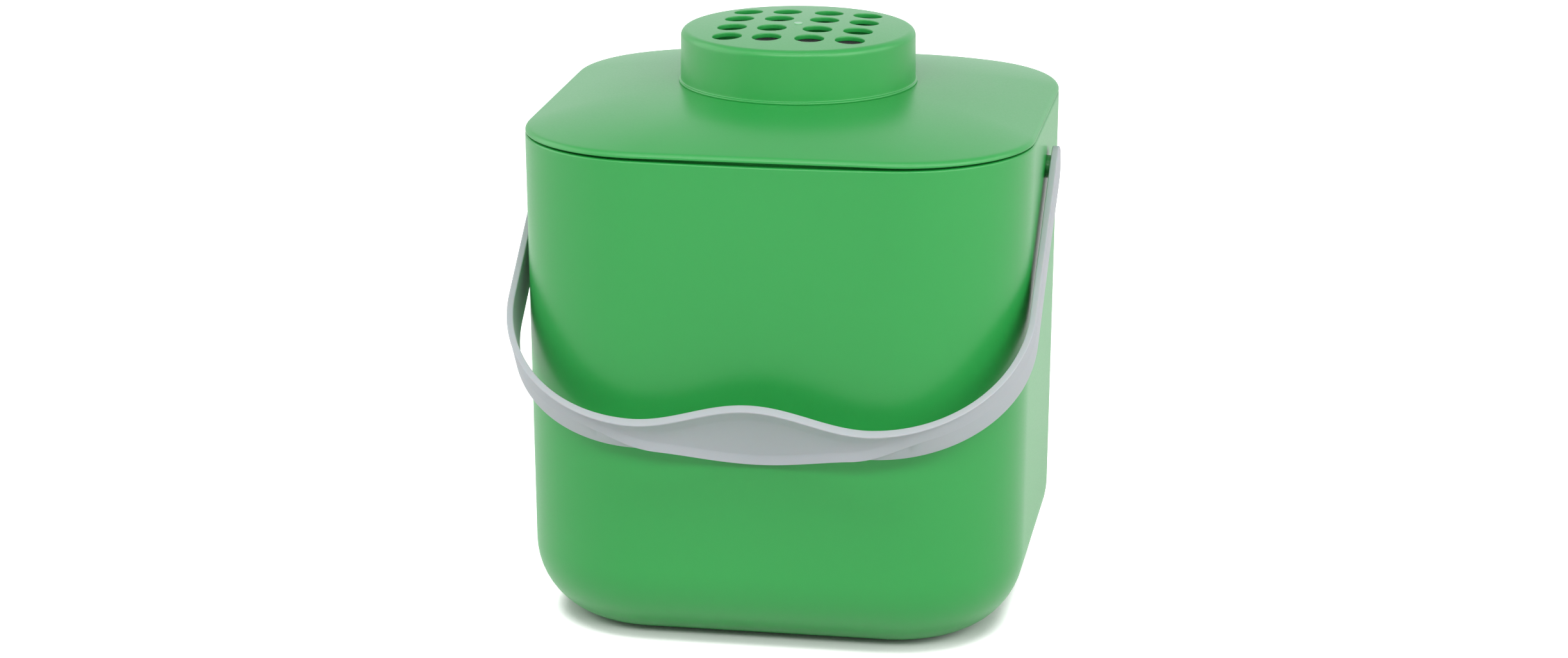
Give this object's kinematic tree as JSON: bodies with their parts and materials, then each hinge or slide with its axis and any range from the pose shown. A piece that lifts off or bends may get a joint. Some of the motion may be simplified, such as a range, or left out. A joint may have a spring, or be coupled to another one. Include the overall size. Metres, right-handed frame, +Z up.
{
  "type": "compost pail",
  "caption": "Rounded-square kitchen compost pail with a domed lift-off lid, a perforated round filter cap and a swing handle with a hollowed grip.",
  "frame": {"origin": "middle of the flat base, on the surface that the pail stands on", "axes": "X across the pail between the two handle sockets, +Y to the back, -Y to the front where the handle hangs, +Z up"},
  "size_m": [0.2196, 0.2272, 0.2435],
  "materials": {
    "green_plastic": "satin, injection moulded",
    "grey_plastic": "satin, injection moulded",
    "charcoal_felt": "dull black felt"
  },
  "bodies": {
    "pail": {"pail_body": "green_plastic"},
    "lid": {"lid": "green_plastic", "charcoal_filter": "charcoal_felt"},
    "cap": {"vent_cap": "green_plastic"},
    "handle": {"handle": "grey_plastic"}
  },
  "joints": [
    {"name": "handle_swing", "type": "hinge", "parent": "pail", "child": "handle", "pos_m": [0, 0.006, 0.1848], "axis": [-1, 0, 0], "range_deg": [0, 257]},
    {"name": "lid_lift", "type": "slide", "parent": "pail", "child": "lid", "axis": [0, 0, 1], "range_m": [0, 0.06]},
    {"name": "cap_lift", "type": "slide", "parent": "lid", "child": "cap", "axis": [0, 0, 1], "range_m": [0, 0.03]}
  ]
}
